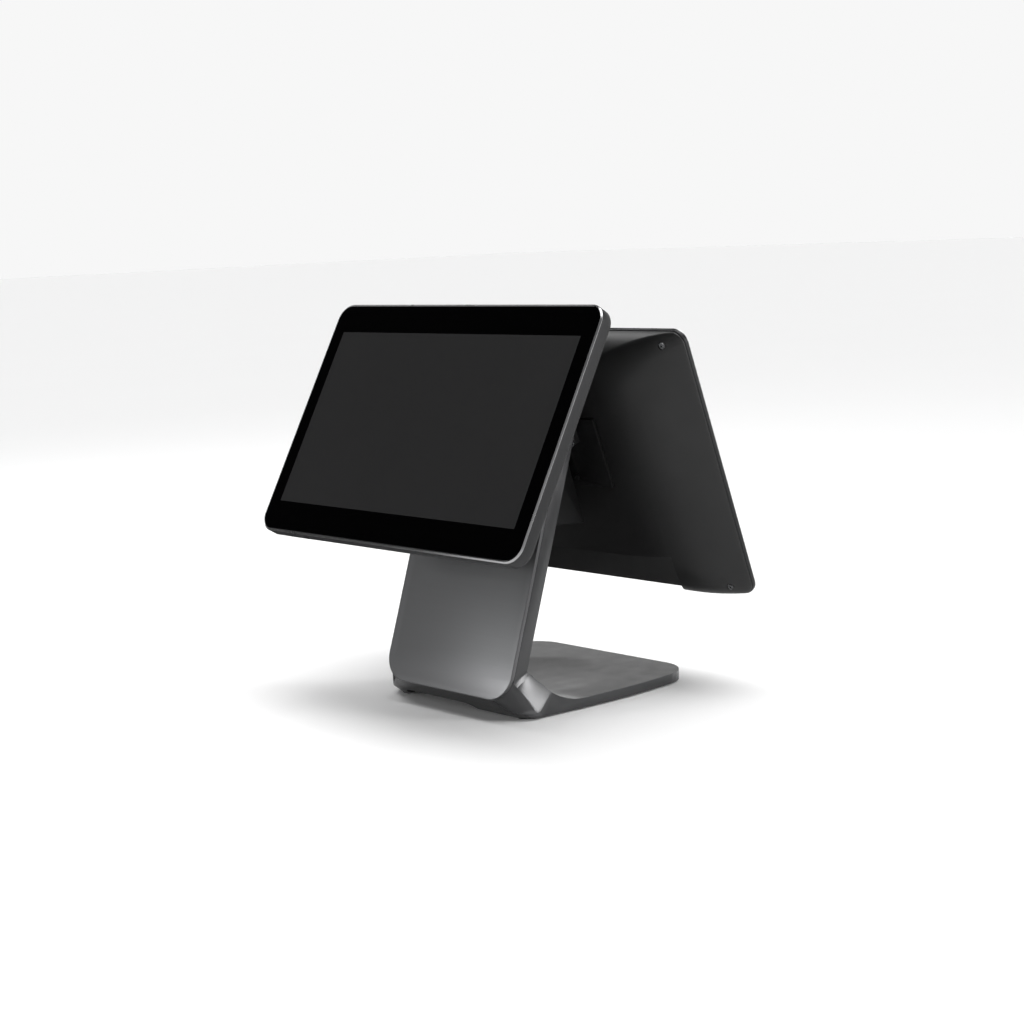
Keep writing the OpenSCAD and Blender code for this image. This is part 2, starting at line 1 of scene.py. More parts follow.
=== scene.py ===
"""Looks of a two-screen point-of-sale terminal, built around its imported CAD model.

Lengths are millimetres in the shapes below and become metres when a mesh is made.
+Z is up, the operator is at -Y and the customer at +Y.
"""

import math

import bmesh
import bpy
from mathutils import Matrix, Vector


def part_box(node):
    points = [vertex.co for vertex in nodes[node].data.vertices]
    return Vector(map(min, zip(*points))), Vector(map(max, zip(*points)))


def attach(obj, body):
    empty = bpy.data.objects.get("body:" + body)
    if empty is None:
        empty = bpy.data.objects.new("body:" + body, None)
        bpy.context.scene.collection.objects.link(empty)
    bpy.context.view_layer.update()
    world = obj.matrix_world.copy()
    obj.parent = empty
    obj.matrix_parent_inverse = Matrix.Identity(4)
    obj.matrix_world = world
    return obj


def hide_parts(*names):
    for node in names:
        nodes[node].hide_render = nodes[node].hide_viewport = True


MM = 0.001

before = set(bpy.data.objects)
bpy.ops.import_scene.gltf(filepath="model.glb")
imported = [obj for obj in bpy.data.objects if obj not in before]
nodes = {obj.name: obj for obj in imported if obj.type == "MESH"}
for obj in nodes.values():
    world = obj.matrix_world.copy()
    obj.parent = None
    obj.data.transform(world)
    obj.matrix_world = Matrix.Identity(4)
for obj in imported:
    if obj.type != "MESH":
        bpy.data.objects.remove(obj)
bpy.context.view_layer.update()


# ---------- frames taken from the CAD model ----------


def box_mm(node):
    """Lowest and highest corner of a CAD node, in millimetres."""
    low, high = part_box(node)
    return low / MM, high / MM


def plate_frame(node, facing):
    """Place of a flat plate's face that looks towards facing * Y: x along it, y into it, z up it."""
    mesh = nodes[node].data
    front = max(
        (face for face in mesh.polygons if face.normal.y * facing > 0.5),
        key=lambda face: face.area,
    )
    y_axis = -front.normal.normalized()
    x_axis = Vector((-facing, 0, 0))
    z_axis = x_axis.cross(y_axis)
    turn = Matrix((x_axis, y_axis, z_axis)).transposed()
    local = [turn.transposed() @ (vertex.co / MM) for vertex in mesh.vertices]
    low = [min(point[k] for point in local) for k in range(3)]
    high = [max(point[k] for point in local) for k in range(3)]
    depth = turn.transposed() @ (front.center / MM)
    middle = Vector(((low[0] + high[0]) / 2, depth.y, (low[2] + high[2]) / 2))
    place = Matrix.Translation(turn @ middle) @ turn.to_4x4()
    return place, high[0] - low[0], high[2] - low[2]


MAIN, MAIN_GLASS_W, MAIN_GLASS_H = plate_frame("main_glass", -1)
REAR, REAR_GLASS_W, REAR_GLASS_H = plate_frame("rear_glass", 1)
NECK_MIDDLE, NECK_W, NECK_PLATE_H = plate_frame("neck_front_cover", -1)
WORLD = Matrix.Identity(4)

# The neck's frame has its height measured from the table along the neck
neck_lean = math.atan2(-NECK_MIDDLE[2][1], NECK_MIDDLE[1][1])
neck_centre = NECK_MIDDLE.translation
NECK_FRONT_Y = neck_centre.y - neck_centre.z * math.tan(neck_lean)
NECK = Matrix.Translation((0, NECK_FRONT_Y, 0)) @ NECK_MIDDLE.to_3x3().to_4x4()


def in_frame(place, point):
    """A point of the world, in a frame's own coordinates."""
    return place.inverted() @ Vector(point)


# Driving sizes, the same as in the CAD model
RIM = 1.7
HOUSING_D = 42
MAIN_R = 18
REAR_R = 15
MAIN_BAND = 14.5
REAR_BAND = 6
ACTIVE_W = 344.2
ACTIVE_H = 193.6
NECK_T = 19.4
NECK_PLATE_T = 4
BAY_HALF = 104.5
BAY_SLANT = 0.404
MAIN_BAY = dict(roof=92, floor=18.5)
REAR_BAY = dict(roof=96, floor=9.8)
SOCKET_SPACE = {
    "main": ((-58, 19.9, -95), (69, 37.3, -74)),
    "rear": ((-30, 18.7, -99), (24.5, 30.8, -79)),
}
MAIN_SCREW_SEAT = 19
REAR_SCREW_SEAT = 13.5
SCREW_INSET_X = 23
SCREW_INSET_Z = 12.5
SCREW_POCKET_R = 3.6
SCREW_HEAD_R = 3.2
BUTTON_AT = (-120, 8)
BUTTON_HOLE_R = 4.3
MAIN_W = MAIN_GLASS_W + 2 * RIM
MAIN_H = MAIN_GLASS_H + 2 * RIM
REAR_W = REAR_GLASS_W + 2 * RIM
REAR_H = REAR_GLASS_H + 2 * RIM


# ---------- materials ----------


class Paint:
    """A Principled material with small helpers for procedural colour, roughness and bump."""

    def __init__(self, name, colour, roughness, metallic=0.0, specular=0.5):
        self.material = bpy.data.materials.new(name)
        self.material.use_nodes = True
        self.tree = self.material.node_tree
        self.shader = self.tree.nodes["Principled BSDF"]
        self.colour = colour
        self.shader.inputs["Base Color"].default_value = (*colour, 1)
        self.shader.inputs["Roughness"].default_value = roughness
        self.shader.inputs["Metallic"].default_value = metallic
        self.shader.inputs["Specular IOR Level"].default_value = specular
        self.coordinates = self.tree.nodes.new("ShaderNodeTexCoord").outputs["Object"]
        self.height = None

    def node(self, kind, **values):
        made = self.tree.nodes.new(kind)
        for key, value in values.items():
            if key in made.inputs:
                made.inputs[key].default_value = value
            else:
                setattr(made, key, value)
        return made

    def link(self, output, target):
        self.tree.links.new(output, target)

    def noise(self, scale, detail=4.0, stretch=(1, 1, 1)):
        """Noise of so many features a metre, drawn out along the axes given."""
        mapping = self.node("ShaderNodeMapping")
        mapping.inputs["Scale"].default_value = stretch
        self.link(self.coordinates, mapping.inputs["Vector"])
        noise = self.node("ShaderNodeTexNoise", Scale=scale, Detail=detail)
        self.link(mapping.outputs["Vector"], noise.inputs["Vector"])
        return noise.outputs["Fac"]

    def spread(self, value, low, high, from_low=0.3, from_high=0.7):
        """value, mapped to low ... high."""
        remap = self.node("ShaderNodeMapRange")
        remap.inputs["From Min"].default_value = from_low
        remap.inputs["From Max"].default_value = from_high
        remap.inputs["To Min"].default_value = low
        remap.inputs["To Max"].default_value = high
        self.link(value, remap.inputs["Value"])
        return remap.outputs["Result"]

    def rough(self, value, low, high):
        self.link(self.spread(value, low, high), self.shader.inputs["Roughness"])
        return self

    def mix_colour(self, factor, other):
        """Blend the colour so far with another, by a factor from 0 to 1."""
        mix = self.node("ShaderNodeMix", data_type="RGBA")
        socket = self.shader.inputs["Base Color"]
        mix.inputs[6].default_value = (*self.colour, 1)
        mix.inputs[7].default_value = (*other, 1)
        self.link(factor, mix.inputs[0])
        if socket.is_linked:
            self.link(socket.links[0].from_socket, mix.inputs[6])
        self.link(mix.outputs[2], socket)
        return self

    def worn_edges(self, colour, amount):
        """Lighter convex edges, from the mesh's own curvature."""
        pointed = self.node("ShaderNodeNewGeometry").outputs["Pointiness"]
        edge = self.spread(pointed, 0, amount, 0.51, 0.6)
        return self.mix_colour(edge, colour)

    def bump(self, value, distance, strength=1.0):
        """Relief of the given depth in metres, on top of any relief before it."""
        bump = self.node("ShaderNodeBump", Distance=distance, Strength=strength)
        self.link(value, bump.inputs["Height"])
        if self.height is not None:
            self.link(self.height, bump.inputs["Normal"])
        self.height = bump.outputs["Normal"]
        self.link(self.height, self.shader.inputs["Normal"])
        return self


def cast_metal():
    """Dark satin lacquer on cast aluminium, with a very fine grain."""
    paint = Paint("cast_metal", (0.052, 0.0525, 0.054), 0.3, metallic=0.3, specular=0.4)
    paint.mix_colour(paint.spread(paint.noise(9, 5), 0, 0.35), (0.045, 0.0455, 0.047))
    paint.worn_edges((0.15, 0.15, 0.155), 0.5)
    paint.rough(paint.noise(60, 6), 0.22, 0.27)
    paint.bump(paint.noise(1500, 3), 0.00004, 0.35)
    return paint.material


def brushed_plate():
    """Dark anodised plate, brushed across the neck."""
    paint = Paint("brushed_plate", (0.082, 0.083, 0.085), 0.3, metallic=0.85)
    brushing = paint.noise(220, 6, (0.04, 1, 1.6))
    paint.mix_colour(paint.spread(brushing, 0, 0.25), (0.074, 0.075, 0.077))
    paint.worn_edges((0.3, 0.3, 0.31), 0.6)
    paint.rough(brushing, 0.28, 0.32)
    paint.bump(paint.noise(900, 4, (0.03, 1, 1.6)), 0.00001, 0.15)
    return paint.material


def cover_plastic():
    """Black moulded plastic with a spark-eroded texture."""
    paint = Paint("cover_plastic", (0.0085, 0.0085, 0.0088), 0.38, specular=0.5)
    paint.mix_colour(paint.spread(paint.noise(14, 4), 0, 0.5), (0.007, 0.007, 0.0073))
    paint.worn_edges((0.03, 0.03, 0.031), 0.4)
    paint.rough(paint.noise(40, 5), 0.43, 0.5)
    paint.bump(paint.noise(2200, 2), 0.00006, 0.5)
    return paint.material


def band_metal():
    """Dark satin side band of the bezels."""
    paint = Paint("band_metal", (0.017, 0.017, 0.018), 0.42, specular=0.25)
    brushing = paint.noise(500, 4, (0.1, 1, 0.1))
    paint.mix_colour(paint.spread(brushing, 0, 0.4), (0.013, 0.013, 0.014))
    paint.worn_edges((0.06, 0.06, 0.062), 0.4)
    paint.rough(brushing, 0.36, 0.46)
    paint.bump(paint.noise(1800, 2), 0.00003, 0.3)
    return paint.material


def bright_rim():
    """Bare machined edge around the cover glass."""
    paint = Paint("bright_rim", (0.36, 0.36, 0.365), 0.3, metallic=1.0)
    turning = paint.noise(40, 4)
    paint.mix_colour(paint.spread(turning, 0, 0.5), (0.33, 0.33, 0.335))
    paint.rough(turning, 0.26, 0.33)
    paint.bump(turning, 0.00001, 0.1)
    return paint.material


def black_glass():
    """Cover glass printed black behind, with faint wiping marks in its gloss."""
    paint = Paint("black_glass", (0.0004, 0.0004, 0.0005), 0.06, specular=0.3)
    marks = paint.noise(6, 6, (1, 1, 0.35))
    paint.mix_colour(paint.spread(marks, 0, 1), (0.0003, 0.0003, 0.0004))
    paint.rough(marks, 0.05, 0.09)
    paint.bump(paint.noise(25, 2), 0.00001, 0.1)
    return paint.material


def unlit_panel():
    """Switched-off display area seen through the glass: a dark grey with a very fine pixel grain."""
    paint = Paint("unlit_panel", (0.0205, 0.0205, 0.0208), 0.16, specular=0.3)
    grain = paint.noise(3600, 1)
    paint.mix_colour(paint.spread(grain, 0, 0.3), (0.0175, 0.0175, 0.018))
    paint.rough(paint.noise(6, 6, (1, 1, 0.35)), 0.13, 0.2)
    paint.bump(grain, 0.000004, 0.1)
    return paint.material


def arm_metal():
    """Black powder coat of the arms and hinge leaves."""
    paint = Paint("arm_metal", (0.006, 0.006, 0.0063), 0.6, specular=0.18)
    paint.mix_colour(paint.spread(paint.noise(30, 4), 0, 0.5), (0.005, 0.005, 0.0053))
    paint.worn_edges((0.014, 0.014, 0.0145), 0.3)
    paint.rough(paint.noise(80, 4), 0.45, 0.6)
    paint.bump(paint.noise(1100, 3), 0.00008, 0.4)
    return paint.material


def bare_metal(name, colour, low, high, stretch=(1, 1, 1)):
    """Bare or plated metal with fine turning or rolling marks."""
    paint = Paint(name, colour, low, metallic=1.0)
    marks = paint.noise(350, 5, stretch)
    darker = tuple(0.72 * channel for channel in colour)
    paint.mix_colour(paint.spread(marks, 0, 0.6), darker)
    paint.rough(marks, low, high)
    paint.bump(marks, 0.00002, 0.3)
    return paint.material


def moulded(name, colour, low, high, grain=0.00004):
    """Small moulded or rubber part."""
    paint = Paint(name, colour, low)
    paint.mix_colour(paint.spread(paint.noise(50, 4), 0, 0.6), tuple(0.7 * c for c in colour))
    paint.rough(paint.noise(90, 4), low, high)
    paint.bump(paint.noise(1600, 3), grain, 0.5)
    return paint.material


def circuit_board():
    """Green solder mask with faint tracks."""
    paint = Paint("circuit_board", (0.012, 0.07, 0.03), 0.35)
    tracks = paint.noise(160, 1, (1, 0.2, 6))
    paint.mix_colour(paint.spread(tracks, 0, 0.8, 0.5, 0.56), (0.02, 0.13, 0.05))
    paint.rough(paint.noise(60, 3), 0.3, 0.42)
    paint.bump(tracks, 0.00003, 0.5)
    return paint.material


def floor_finish():
    """Pale seamless studio floor."""
    paint = Paint("studio_floor", (0.92, 0.92, 0.92), 0.7, specular=0.2)
    paint.mix_colour(paint.spread(paint.noise(2, 3), 0, 0.3), (0.91, 0.91, 0.91))
    paint.rough(paint.noise(30, 3), 0.66, 0.74)
    return paint.material


FINISH = {
    "cast": cast_metal(),
    "plate": brushed_plate(),
    "cover": cover_plastic(),
    "band": band_metal(),
    "rim": bright_rim(),
    "glass": black_glass(),
    "panel": unlit_panel(),
    "arm": arm_metal(),
    "steel": bare_metal("zinc_steel", (0.55, 0.56, 0.57), 0.28, 0.42),
    "shaft": bare_metal("ground_shaft", (0.45, 0.45, 0.46), 0.2, 0.34, (6, 0.3, 0.3)),
    "screw": bare_metal("black_screw", (0.05, 0.05, 0.052), 0.3, 0.45),
    "bronze": bare_metal("bronze", (0.5, 0.34, 0.16), 0.3, 0.45),
    "fins": bare_metal("heat_sink_fins", (0.62, 0.62, 0.63), 0.3, 0.42, (1, 1, 4)),
    "rubber": moulded("rubber", (0.018, 0.018, 0.018), 0.75, 0.9),
    "black": moulded("black_moulding", (0.015, 0.015, 0.016), 0.4, 0.55),
    "board": circuit_board(),
}


# ---------- mesh helpers ----------


def arc(centre, radius, start, stop, steps):
    """Points of an arc in a plane, angles in degrees, both ends included."""
    angles = [math.radians(start + (stop - start) * i / steps) for i in range(steps + 1)]
    return [(centre[0] + radius * math.cos(a), centre[1] + radius * math.sin(a)) for a in angles]


def rounded_ring(width, height, radius, depth, steps=12, lift=0):
    """Rounded rectangle in the XZ plane of a frame, at a depth along its y."""
    across = width / 2 - radius
    up = height / 2 - radius
    corners = [(across, up, 0), (-across, up, 90), (-across, -up, 180), (across, -up, 270)]
    ring = []
    for cx, cz, start in corners:
        ring += [(x, depth, z + lift) for x, z in arc((cx, cz), radius, start, start + 90, steps)]
    return ring


def make_object(name, points, faces, place):
    """Mesh object from millimetre points in a frame, with its normals turned outwards."""
    mesh = bpy.data.meshes.new(name)
    mesh.from_pydata([place @ Vector(point) * MM for point in points], [], faces)
    made = bpy.data.objects.new(name, mesh)
    bpy.context.scene.collection.objects.link(made)
    tidy = bmesh.new()
    tidy.from_mesh(mesh)
    bmesh.ops.remove_doubles(tidy, verts=tidy.verts, dist=0.00001)
    bmesh.ops.recalc_face_normals(tidy, faces=tidy.faces)
    tidy.to_mesh(mesh)
    tidy.free()
    return made


def loft(name, rings, place, closed_profile=False):
    """Skin through rings of equal length; open profiles are capped at both ends."""
    count = len(rings[0])
    points = [point for ring in rings for point in ring]
    spans = len(rings) if closed_profile else len(rings) - 1
    faces = []
    for i in range(spans):
        here = i * count
        there = (i + 1) % len(rings) * count
        for k in range(count):
            after = (k + 1) % count
            faces.append((here + k, here + after, there + after, there + k))
    if not closed_profile:
        faces.append(tuple(range(count)))
        faces.append(tuple(range((len(rings) - 1) * count, len(rings) * count)))
    return make_object(name, points, faces, place)


def prism(name, outline, low, high, place, axes="XZ"):
    """Outline in two axes of a frame, XZ or XY, drawn out along the third from low to high."""

    def point(pair, along):
        if axes == "XZ":
            return (pair[0], along, pair[1])
        return (pair[0], pair[1], along)

    rings = [[point(pair, along) for pair in outline] for along in (low, high)]
    return loft(name, rings, place)


def block(name, low, high, place):
    """Box given by two corners, as a prism."""
    outline = [(low[0], low[2]), (high[0], low[2]), (high[0], high[2]), (low[0], high[2])]
    return prism(name, outline, low[1], high[1], place)


def disc(name, centre, radius, low, high, place, axes="XZ", steps=48):
    """Round bar across two axes of a frame."""
    return prism(name, arc(centre, radius, 0, 360, steps)[:-1], low, high, place, axes)


def settle(made):
    """Replace an object's mesh by the result of its modifiers."""
    graph = bpy.context.evaluated_depsgraph_get()
    mesh = bpy.data.meshes.new_from_object(made.evaluated_get(graph))
    made.modifiers.clear()
    made.data = mesh
    return made


def cut(made, other):
    """Take another object's shape away; the other object is used up."""
    modifier = made.modifiers.new("boolean", "BOOLEAN")
    modifier.operation = "DIFFERENCE"
    modifier.solver = "EXACT"
    modifier.object = other
    settle(made)
    bpy.data.objects.remove(other)
    return made


def bevel(made, width, segments=3, angle=34):
    """Rounded edges wherever faces meet at more than the angle."""
    modifier = made.modifiers.new("bevel", "BEVEL")
    modifier.width = width * MM
    modifier.segments = segments
    modifier.limit_method = "ANGLE"
    modifier.angle_limit = math.radians(angle)
    modifier.use_clamp_overlap = True
    return settle(made)


def finish(made, body, finish_name, sharp=38, replaces=()):
    """Shade a piece, give it its material, and let it ride on its body."""
    mesh = made.data
    mesh.materials.clear()
    mesh.materials.append(FINISH[finish_name])
    mesh.polygons.foreach_set("use_smooth", [True] * len(mesh.polygons))
    mesh.set_sharp_from_angle(angle=math.radians(sharp))
    mesh.update()
    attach(made, body)
    if replaces:
        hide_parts(*replaces)
    return made


def softened(node, body, finish_name, width=0.4, segments=2, angle=34):
    """A CAD part's own shape with rounded edges, standing for that part."""
    source = nodes[node].data.copy()
    made = bpy.data.objects.new(node + "_soft", source)
    bpy.context.scene.collection.objects.link(made)
    tidy = bmesh.new()
    tidy.from_mesh(source)
    bmesh.ops.remove_doubles(tidy, verts=tidy.verts, dist=0.000005)
    flat = math.radians(1)
    bmesh.ops.dissolve_limit(tidy, angle_limit=flat, verts=tidy.verts, edges=tidy.edges)
    tidy.to_mesh(source)
    tidy.free()
    bevel(made, width, segments, angle)
    return finish(made, body, finish_name, replaces=(node,))


# ---------- displays ----------

# A cover rises in a straight slope over BEVEL_FLAT, then turns into its flat back over BEVEL_TURN
BEVEL_FLAT = 40
BEVEL_TURN = 90
TOP_TURN = 48
COVER_STEPS = 16


def glass_sheet(name, node, width, height, corner, place, body):
    """Cover glass with a ground edge."""
    radius = corner - RIM
    profile = [(0.9, 0.0), (0.45, 0.05), (0.15, 0.3), (0.1, 0.7), (0.1, 2.9)]
    rings = [
        rounded_ring(width - 2 * inset, height - 2 * inset, radius - inset, depth)
        for inset, depth in profile
    ]
    made = loft(name, rings, place)
    return finish(made, body, "glass", replaces=(node,))


def unlit_area(name, place, body):
    """The display area behind the glass, flush with it."""
    rings = [
        rounded_ring(ACTIVE_W, ACTIVE_H, 0.4, -0.02, 3),
        rounded_ring(ACTIVE_W, ACTIVE_H, 0.4, 0.4, 3),
    ]
    return finish(loft(name, rings, place), body, "panel")


def swept_ring(name, width, height, corner, profile, place):
    """Closed profile of (inset, depth) points, swept around a display's rounded outline."""
    rings = [
        rounded_ring(width - 2 * inset, height - 2 * inset, max(corner - inset, 2), depth, 16)
        for inset, depth in profile
    ]
    return loft(name, rings, place, closed_profile=True)


def bezel(prefix, node, width, height, corner, band, place, body):
    """Bright chamfer around the glass, and the dark side band behind it."""
    chamfer = [(1.75, 0.35), (1.55, 0.1), (1.35, 0.1), (0.12, 1.45), (0.12, 1.95), (1.75, 1.95)]
    rim = swept_ring(prefix + "_bright_rim", width, height, corner, chamfer, place)
    finish(rim, body, "rim", sharp=25, replaces=(node,))
    side = [
        (1.75, 2.05), (0.3, 2.05), (0.05, 2.3), (0, 2.8), (0, band - 1.2), (0.2, band - 0.5),
        (0.7, band - 0.1), (1.6, band), (7.5, band), (7.5, 3.2), (1.75, 3.2),
    ]
    ring = swept_ring(prefix + "_side_band", width, height, corner, side, place)
    if prefix == "main":
        low = -height / 2
        cut(ring, disc("button_hole", BUTTON_AT, BUTTON_HOLE_R, low - 2, low + 9, place, "XY"))
    return finish(ring, body, "band", sharp=40)


def cover_profile(band, corner):
    """Depth, side inset, top inset and corner radius of a cover, from its rim to its flat back."""
    start = band + 0.35
    foot = start + 1.2
    rise = HOUSING_D - foot
    points = [(start, 2.2, 2.2, corner - 2), (start, 1.3, 1.3, corner - 1),
              (start + 0.35, 1.0, 1.0, corner - 0.8), (foot, 1.2, 1.05, corner - 0.6)]
    slope = rise / (BEVEL_FLAT + BEVEL_TURN / 2)
    for i in range(1, COVER_STEPS + 1):
        inset = (BEVEL_FLAT + BEVEL_TURN) * (i / COVER_STEPS) ** 1.15
        over = max(inset - BEVEL_FLAT, 0)
        depth = foot + slope * (inset - over**2 / (2 * BEVEL_TURN))
        part = (depth - foot) / rise
        top = 1.05 + TOP_TURN * (1 - math.sqrt(max(1 - part**2, 0)))
        points.append((depth, 1.2 + inset, top, corner - 0.6 + 0.25 * inset))
    return points


def bay_cutter(height, roof, floor, place):
    """Space of the socket bay, its end walls slanting outwards towards the back."""
    deep = HOUSING_D + 12
    inner = BAY_HALF + BAY_SLANT * floor
    outer = BAY_HALF + BAY_SLANT * deep
    outline = [(-inner, floor), (inner, floor), (outer, deep), (-outer, deep)]
    made = prism("bay_cutter", outline, -height / 2 - 5, -roof, place, "XY")
    return bevel(made, 1.6, 3, 40)


def bay_mouth(height, floor, place):
    """Cutter that opens the bay out sideways where it meets the lower edge."""
    low = -height / 2
    half = BAY_HALF + BAY_SLANT * floor
    edge = [(half + 15, low - 3), (half + 9, low + 1), (half + 5, low + 4), (half + 2, low + 8),
            (half - 4, low + 14)]
    outline = edge + [(-x, z) for x, z in reversed(edge)]
    return prism("bay_mouth", outline, floor + 0.3, HOUSING_D + 12, place)


def cover(prefix, width, height, corner, band, bay, screw_seat, place):
    """Pillow-shaped rear cover with a socket bay and deep corner screw pockets."""
    rings = [
        rounded_ring(width - 2 * side, height - 2 * top, radius, depth, 14)
        for depth, side, top, radius in cover_profile(band, corner)
    ]
    made = loft(prefix + "_pillow_cover", rings, place)
    cut(made, bay_cutter(height, bay["roof"], bay["floor"], place))
    cut(made, bay_mouth(height, bay["floor"], place))
    for x, z in corner_screws(width, height):
        hole = disc("hole", (x, z), SCREW_POCKET_R, screw_seat, HOUSING_D + 9, place, steps=40)
        cut(made, hole)
    return made


def corner_screws(width, height):
    across = width / 2 - SCREW_INSET_X
    up = height / 2 - SCREW_INSET_Z
    return [(sx * across, sz * up) for sx in (-1, 1) for sz in (-1, 1)]


def screw_head(name, x, z, depth, radius, place, body, finish_name="screw"):
    """Pan head with a cross recess, looking along the frame's +y."""
    profile = [(radius, 0), (radius, 0.8), (radius * 0.93, 1.3), (radius * 0.75, 1.7),
               (radius * 0.45, 1.95), (0.02, 2.05)]
    rings = [
        [(x + cx, depth + up, z + cz) for cx, cz in arc((0, 0), r, 0, 360, 32)[:-1]]
        for r, up in profile
    ]
    made = loft(name, rings, place)
    arm = radius * 0.55
    for wide, tall in ((arm, 0.42), (0.42, arm)):
        cut(made, block("slot", (x - wide, depth + 0.9, z - tall), (x + wide, depth + 4, z + tall), place))
    return finish(made, body, finish_name)


# ---------- stand ----------

PLATE_LOW = in_frame(NECK, neck_centre).z - NECK_PLATE_H / 2
NECK_LEN = PLATE_LOW + NECK_PLATE_H
PLATE_R = 28
ARM_GAP = ((-39, -2, 234), (39, 6, 328))
CABLE_GAP = ((-66, -2, 290), (-46, 6, 304))
NECK_TOP_R = 22
base_low, base_high = box_mm("base_casting")
BASE_HALF = base_high.x
BASE_REAR = base_high.y
BASE_LIFT = base_low.z
BASE_TOP = 11.5
BASE_R = 38
BASE_WIDEST_Y = 92
HEEL_Y = -77.5
FLARE_C = Vector((103, -47.5, 24.4))
FOOT_CORNER = Vector((102.8, -57, BASE_LIFT))
SIDE_LOW_Z = 43
SIDE_BACK_Z = 57
SCOOP_R = 34
DISH_Y = 28
DISH_R = 77
DISH_DEPTH = 1.2
RIM_FLAT_Y = -11
NECK_ROWS = 14
FOLD_ROWS = 14
BASE_ROWS = 34
HALF_COLUMNS = 30


def smooth(value, low=0.0, high=1.0):
    """Smooth step from 0 at low to 1 at high."""
    part = min(max((value - low) / (high - low), 0.0), 1.0)
    return part * part * (3 - 2 * part)


def mix(a, b, part):
    return a + (b - a) * part


def neck_point(x, y, z):
    return NECK @ Vector((x, y, z))


def base_half(y):
    """Half width of the base plate at a distance along Y."""
    if y > BASE_REAR - BASE_R:
        over = min(y - (BASE_REAR - BASE_R), BASE_R)
        return BASE_HALF - BASE_R + math.sqrt(max(BASE_R**2 - over**2, 0))
    front = FOOT_CORNER.y
    part = (y - front) / (BASE_WIDEST_Y - front)
    return mix(FOOT_CORNER.x, BASE_HALF, math.sin(math.pi / 2 * min(max(part, 0), 1)))


def neck_half(z):
    """Half width of the neck at a height along it, with its rounded upper corners."""
    half = NECK_W / 2
    over = z - (NECK_LEN - NECK_TOP_R)
    if over > 0:
        return half - NECK_TOP_R + math.sqrt(max(NECK_TOP_R**2 - over**2, 0))
    return half


def plate_edge(x):
    """Height along the neck of the front plate's lower edge, which rises around its corners."""
    over = abs(x) - (NECK_W / 2 - PLATE_R)
    if over <= 0:
        return PLATE_LOW
    return PLATE_LOW + PLATE_R - math.sqrt(max(PLATE_R**2 - over**2, 0))


def foot_edge(side):
    """Point of the lower front edge, where the fold meets the underside; side runs from -1 to 1."""
    x = side * FOOT_CORNER.x
    over = max(abs(x) - 80, 0) / (FOOT_CORNER.x - 80)
    y = HEEL_Y + (FOOT_CORNER.y - HEEL_Y) * (1 - math.sqrt(max(1 - over**2, 0)))
    return Vector((x, y, BASE_LIFT))


def front_line(side):
    """Points from the neck's top, down its front, round the fold and along the underside."""
    line = []
    low = min(plate_edge(side * NECK_W / 2), SIDE_LOW_Z)
    for i in range(NECK_ROWS + 1):
        rise = math.sin(math.pi / 2 * i / NECK_ROWS)
        z = mix(NECK_LEN, low, rise)
        line.append(neck_point(side * neck_half(z), NECK_PLATE_T, z))
    fold = line[-1]
    toe = foot_edge(side)
    outward = smooth(abs(side), 0.75, 1)
    knee = toe + Vector((math.copysign(2.2, side) * outward, -6.8 - 2.2 * outward, 6.5))
    for i in range(1, FOLD_ROWS + 1):
        line.append(fold.lerp(knee, i / FOLD_ROWS))
    for i in range(BASE_ROWS + 1):
        y = mix(toe.y, BASE_REAR, base_step(i / BASE_ROWS))
        x = side * base_half(max(y, FOOT_CORNER.y)) if y > FOOT_CORNER.y else toe.x
        line.append(Vector((x, y, BASE_LIFT)))
    return line


def base_step(part):
    """Share of the way along the base: rows crowd together at its rounded rear corners."""
    straight = 1 - BASE_R / (BASE_REAR - FOOT_CORNER.y)
    if part < 0.55:
        return straight * part / 0.55
    turn = (part - 0.55) / 0.45
    return mix(straight, 1, math.sin(math.pi / 2 * turn))


def rim_height(y):
    """Height of the base plate's side rim, which sinks from the flare to the plate."""
    over = min(max((RIM_FLAT_Y - y) / (RIM_FLAT_Y - FLARE_C.y), 0), 1)
    return BASE_TOP + (FLARE_C.z - BASE_TOP) * over**2


def dish_depth(x, y):
    """Depth of the shallow round dish in the base plate's upper face."""
    away = math.hypot(x, y - DISH_Y) / DISH_R
    return DISH_DEPTH * max(1 - away**2, 0)


